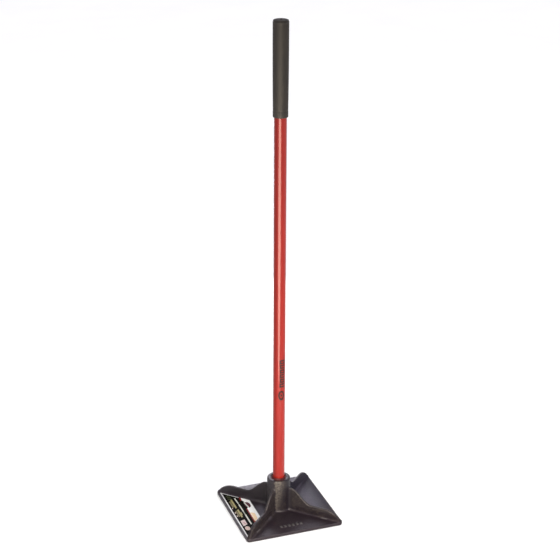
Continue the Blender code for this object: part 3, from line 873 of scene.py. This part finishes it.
film_outline = in_mm(trapezium(-121.8, -61.0, 9.4))
film = slab("label_film", film_outline, PLATE_TOP + 0.02 * MM, FILM_TOP, 2.5 * MM)
finish(film, border_ink, sharp=30)
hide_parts("head_label")
printed("label_black_field", trapezium(-119.0, -82.0, 12.8), black_ink, 1, 1.5)
printed("label_white_field", trapezium(-81.9, -61.5, 10.0), white_ink, 1, 0.8)
for index, (x, low, high) in enumerate((
    (-111.4, 30, 63), (-105.8, 24, 70), (-110.6, -18, 14), (-104.8, -22, 18), (-101.2, -12, 4)
)):
    wide = 1.2 if index == 4 else 2.3
    bar_of = [(x - wide, low), (x + wide, low + 2), (x + wide, high), (x - wide, high - 2)]
    printed(f"label_line_{index}", bar_of, straw_ink if x < -110 else yellow_ink, 2, 0.8)
for index, (x, y) in enumerate(((-115.0, 4), (-115.4, 27), (-115.2, -12))):
    printed(f"label_spot_{index}", oval((x, y), (1.3, 3.2), 12), rose_ink, 2)
printed("label_block", [(-115, -63), (-103, -57), (-103, -33), (-115, -37)], pink_ink, 2, 1)
printed("label_block_slash", [(-110, -46), (-108.6, -45), (-106.4, -54), (-107.8, -55)], red_ink, 3)
printed("label_dot", oval((-108.6, -75), (6.2, 9.4)), rose_ink, 2)
printed("label_dot_ring", oval((-108.6, -75), (3.5, 5.4)), red_ink, 3)
printed("label_dot_core", oval((-108.6, -75), (3.1, 4.9)), rose_ink, 4)
for index, (low, high) in enumerate(((70, 76), (79, 84), (87, 92))):
    spot = [(-113, low), (-103, low), (-103, high), (-113, high)]
    printed(f"label_tick_{index}", spot, olive_ink, 2, 0.8)
printed("label_bar_far", [(-95.4, 44), (-92.4, 44), (-93.8, 73), (-96.8, 73)], bright_ink, 2)
printed("label_bar_middle", [(-95.0, 4), (-92.0, 4), (-92.4, 41), (-95.4, 41)], bright_ink, 2)
printed("label_bar_gap", [(-95.0, -12), (-92.2, -12), (-92.2, 4), (-95.0, 4)], dull_ink, 2)
printed("label_bar_near", [(-95.4, -60), (-91.8, -60), (-91.6, -12), (-95.2, -12)], bright_ink, 2)
printed("label_stripe_far", [(-85.0, 54), (-80.4, 54), (-79.4, 70), (-84.0, 76)], red_ink, 2, 0.8)
printed("label_stripe", [(-84.0, -64), (-80.6, -60), (-79.6, 20), (-82.8, 20)], red_ink, 2, 0.8)
printed("label_wedge", [(-84, 14), (-78, 16), (-75, 36), (-78.6, 54), (-84, 58)], black_ink, 3, 1.5)
printed("label_oval", oval((-73.6, 31), (7.6, 14)), maroon_ink, 4)
printed("label_oval_streak", [(-80, 44), (-77.4, 46), (-73.0, 20), (-75.6, 17)], bright_ink, 5, 0.8)
printed("label_patch", [(-80.4, -50), (-70.0, -40), (-68.6, -12), (-78.6, -6)], cream_ink, 2, 1)
printed("label_patch_end", [(-82, -62), (-76, -55), (-78.5, -48), (-82, -48)], red_ink, 3)

# ---------------------------------------------------------------- print on the handle


def wrapped(name, outlines):
    """Flat marks laid round the handle. x runs round it in metres of arc, y up it."""
    middle = math.radians(-78.9)
    radius = HANDLE_RADIUS + 0.05 * MM
    shape = bmesh.new()
    for outline in outlines:
        shape.faces.new([shape.verts.new((x, y, 0.0)) for x, y in outline])
    for i in range(-14, 15):
        geometry = [*shape.verts, *shape.edges, *shape.faces]
        bmesh.ops.bisect_plane(shape, geom=geometry, plane_co=(i * MM, 0, 0), plane_no=(1, 0, 0))
    for v in shape.verts:
        angle = middle + v.co.x / HANDLE_RADIUS
        v.co = Vector((radius * math.cos(angle), radius * math.sin(angle), v.co.y))
    for face in shape.faces:
        face.normal_update()
        centre = face.calc_center_median()
        if face.normal.dot(Vector((centre.x, centre.y, 0.0))) < 0:
            face.normal_flip()
    mesh = bpy.data.meshes.new(name)
    shape.to_mesh(mesh)
    shape.free()
    obj = bpy.data.objects.new(name, mesh)
    bpy.context.scene.collection.objects.link(obj)
    return obj


def bar(x0, x1, y0, y1):
    return [(x0 * MM, y0 * MM), (x1 * MM, y0 * MM), (x1 * MM, y1 * MM), (x0 * MM, y1 * MM)]


def ring_pieces(centre, outer, inner, count=28):
    """An oval ring as a run of four-cornered pieces."""
    turn = [2 * math.pi * i / count for i in range(count + 1)]
    pieces = []
    for a, b in zip(turn, turn[1:]):
        corners = [(outer, a), (outer, b), (inner, b), (inner, a)]
        pieces.append([
            ((centre[0] + r[0] * math.cos(t)) * MM, (centre[1] + r[1] * math.sin(t)) * MM)
            for r, t in corners
        ])
    return pieces


marks = []
for index in range(6):
    base = 353.5 + index * 12.7
    wide = 7.4 if index in (0, 5) else 6.6
    marks.append(bar(-wide, wide, base, base + 4.1))
    marks.append(bar(-wide, wide, base + 6.9, base + 11.0))
    marks.append(bar(-wide, -wide + 3.6, base + 4.1, base + 6.9))
    if index % 2:
        marks.append(bar(wide - 3.4, wide, base + 4.1, base + 6.9))
marks += ring_pieces((-2.3, 331.5), (8.2, 13.5), (4.0, 7.8))
marks.append(bar(-4.6, 0.0, 328.5, 334.5))
mark = wrapped("handle_mark", marks)
finish(mark, ink("handle_print", (0.030, 0.012, 0.010), 0.35))

# ---------------------------------------------------------------- studio

reach = 30.0
corners = [(-reach, -reach, 0.0), (reach, -reach, 0.0), (reach, reach, 0.0), (-reach, reach, 0.0)]
floor = mesh_object("studio_floor", corners, [(0, 1, 2, 3)])
floor.location.z = -0.1 * MM
floor.data.materials.append(studio_floor())
floor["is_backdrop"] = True

world = bpy.data.worlds.new("studio")
world.use_nodes = True
nodes, links = world.node_tree.nodes, world.node_tree.links
direction = nodes.new("ShaderNodeTexCoord")
upward = nodes.new("ShaderNodeSeparateXYZ")
links.new(direction.outputs["Generated"], upward.inputs[0])
sky = nodes.new("ShaderNodeValToRGB")
links.new(upward.outputs["Z"], sky.inputs["Fac"])
sky_stops = (
    (0.0, (0.42, 0.42, 0.42)),
    (0.30, (0.72, 0.69, 0.81)),
    (0.50, (0.72, 0.69, 0.81)),
    (0.80, (0.42, 0.41, 0.43)),
    (1.0, (0.35, 0.35, 0.35)),
)
for _ in range(len(sky_stops) - 2):
    sky.color_ramp.elements.new(0.5)
for item, (position, colour) in zip(sky.color_ramp.elements, sky_stops):
    item.position = position
    item.color = (*colour, 1.0)
links.new(sky.outputs["Color"], nodes["Background"].inputs["Color"])
nodes["Background"].inputs["Strength"].default_value = 1.3
bpy.context.scene.world = world
bpy.context.scene.view_settings.view_transform = "Standard"

camera_at = Vector((-1.059, -2.928, 1.8946))
aim_at = Vector((0.00075, -0.0003, 0.6339))
front = Vector((camera_at.x, camera_at.y, 0.0)).normalized()


def toward(degrees, distance, height):
    """A place round the handle, by its angle to the left of the camera's side."""
    turned = Matrix.Rotation(math.radians(-degrees), 3, "Z") @ front
    return turned * distance + Vector((0.0, 0.0, height))


def panel(name, location, width, height, radiance, colour, seen_by, shape="RECTANGLE"):
    """A soft light that faces the handle. seen_by is glossy or diffuse."""
    data = bpy.data.lights.new(name, "AREA")
    data.shape = shape
    data.size, data.size_y = width, height
    data.energy = radiance * math.pi * width * height * (1.0 if shape == "RECTANGLE" else math.pi / 4)
    data.color = colour
    obj = bpy.data.objects.new(name, data)
    obj.location = location
    target = Vector((0.0, 0.0, location.z if location.z < 2.0 else 0.0))
    obj.rotation_euler = (target - location).to_track_quat("-Z", "Y").to_euler()
    obj.visible_camera = False
    obj.visible_diffuse = seen_by == "diffuse"
    obj.visible_glossy = seen_by == "glossy"
    bpy.context.scene.collection.objects.link(obj)


panel("front_strip", toward(8, 0.62, 0.605), 0.48, 1.07, 13.0, (1.0, 0.90, 0.74), "glossy", "ELLIPSE")
panel("low_front", toward(-14, 0.95, 0.26), 0.60, 0.32, 17.0, (1.0, 0.94, 0.86), "diffuse")
panel("back_strip", toward(172, 0.85, 0.60), 0.12, 1.10, 11.0, (0.93, 0.90, 1.0), "glossy")
panel("back_fill", toward(180, 1.6, 0.65), 0.80, 1.20, 2.4, (1.0, 0.97, 0.93), "diffuse")
panel("overhead", Vector((0.0, 0.0, 8.0)), 24.0, 24.0, 0.52, (0.95, 0.99, 0.88), "diffuse")

lens = bpy.data.cameras.new("camera")
lens.lens = 90.0
lens.sensor_width = 36.0
lens.clip_end = 100
camera = bpy.data.objects.new("camera", lens)
camera.location = camera_at
look = (aim_at - camera_at).to_track_quat("-Z", "Y").to_matrix().to_4x4()
roll = Matrix.Rotation(math.radians(0.30), 4, "Z")
camera.matrix_world = Matrix.Translation(camera_at) @ look @ roll
bpy.context.scene.collection.objects.link(camera)
bpy.context.scene.camera = camera

low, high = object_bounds()
